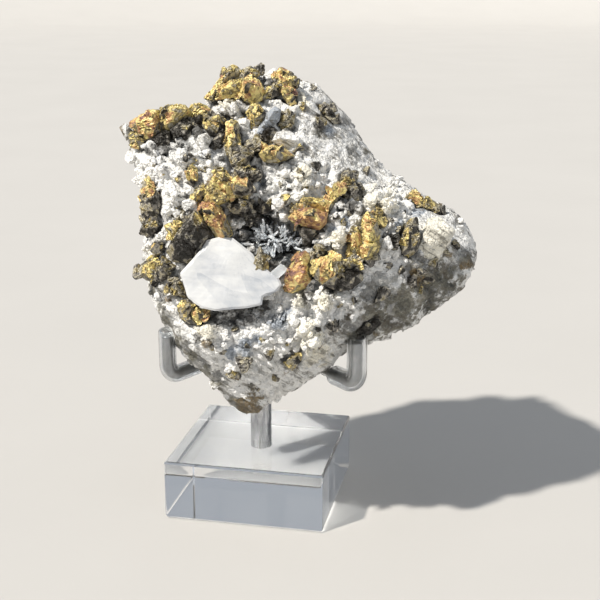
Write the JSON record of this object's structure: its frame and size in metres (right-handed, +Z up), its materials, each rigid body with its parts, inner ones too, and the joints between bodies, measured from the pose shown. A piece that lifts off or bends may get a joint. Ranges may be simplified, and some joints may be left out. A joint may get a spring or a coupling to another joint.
{
  "type": "chalcopyrite specimen",
  "caption": "Lump of white calcite and quartz rock with brassy crystals, a pale blade and a needle-lined pocket, resting on bent rods that spread from a post in a clear block.",
  "frame": {"origin": "centre of the clear block's underside", "axes": "+Z up, along the post; +X and +Y square to the block's sides; the rock's crystal face looks towards -Y, turned 11.9 degrees about +Z"},
  "size_m": [0.1035, 0.0874, 0.1405],
  "materials": {
    "acrylic": "clear polished acrylic",
    "steel": "satin turned steel",
    "dark_steel": "bent steel wire rod",
    "sleeve": "clear vinyl tube",
    "rock": "white calcite and quartz rock, granular, streaked with grey",
    "chalcopyrite": "brassy metallic crystals, striated, tarnished orange, olive and grey",
    "calcite": "white pearly cleavage",
    "quartz": "clear grey prisms"
  },
  "bodies": {
    "root": {"acrylic_block": "acrylic", "post": "steel", "left_rod": "dark_steel", "right_rod": "dark_steel", "back_rod": "dark_steel", "left_sleeve": "sleeve", "right_sleeve": "sleeve", "back_sleeve": "sleeve", "matrix": "rock", "calcite_blade": "calcite", "quartz_needles": "quartz", "chalcopyrite_left_top": "chalcopyrite", "chalcopyrite_cracked": "chalcopyrite", "chalcopyrite_grooved": "chalcopyrite", "chalcopyrite_column": "chalcopyrite", "chalcopyrite_crown": "chalcopyrite", "chalcopyrite_crown_right": "chalcopyrite", "chalcopyrite_under_crown": "chalcopyrite", "chalcopyrite_shaded": "chalcopyrite", "chalcopyrite_lens": "chalcopyrite", "chalcopyrite_heart": "chalcopyrite", "chalcopyrite_heart_left": "chalcopyrite", "chalcopyrite_seed_upper": "chalcopyrite", "chalcopyrite_left_flank": "chalcopyrite", "chalcopyrite_dark_face": "chalcopyrite", "chalcopyrite_left_spur": "chalcopyrite", "chalcopyrite_left_seed": "chalcopyrite", "chalcopyrite_kite": "chalcopyrite", "chalcopyrite_on_blade": "chalcopyrite", "chalcopyrite_below_blade": "chalcopyrite", "chalcopyrite_wedge": "chalcopyrite", "chalcopyrite_pale_ridge": "chalcopyrite", "chalcopyrite_bright": "chalcopyrite", "chalcopyrite_oblong": "chalcopyrite", "chalcopyrite_lower_group": "chalcopyrite", "chalcopyrite_right": "chalcopyrite", "chalcopyrite_rim": "chalcopyrite", "chalcopyrite_slope_high": "chalcopyrite", "chalcopyrite_slope_left": "chalcopyrite", "chalcopyrite_middle_seed": "chalcopyrite", "chalcopyrite_chin_right": "chalcopyrite", "chalcopyrite_right_low": "chalcopyrite", "chalcopyrite_back_upper": "chalcopyrite", "chalcopyrite_back_left": "chalcopyrite", "chalcopyrite_back_middle": "chalcopyrite", "chalcopyrite_back_right": "chalcopyrite", "chalcopyrite_back_low": "chalcopyrite"}
  },
  "joints": []
}
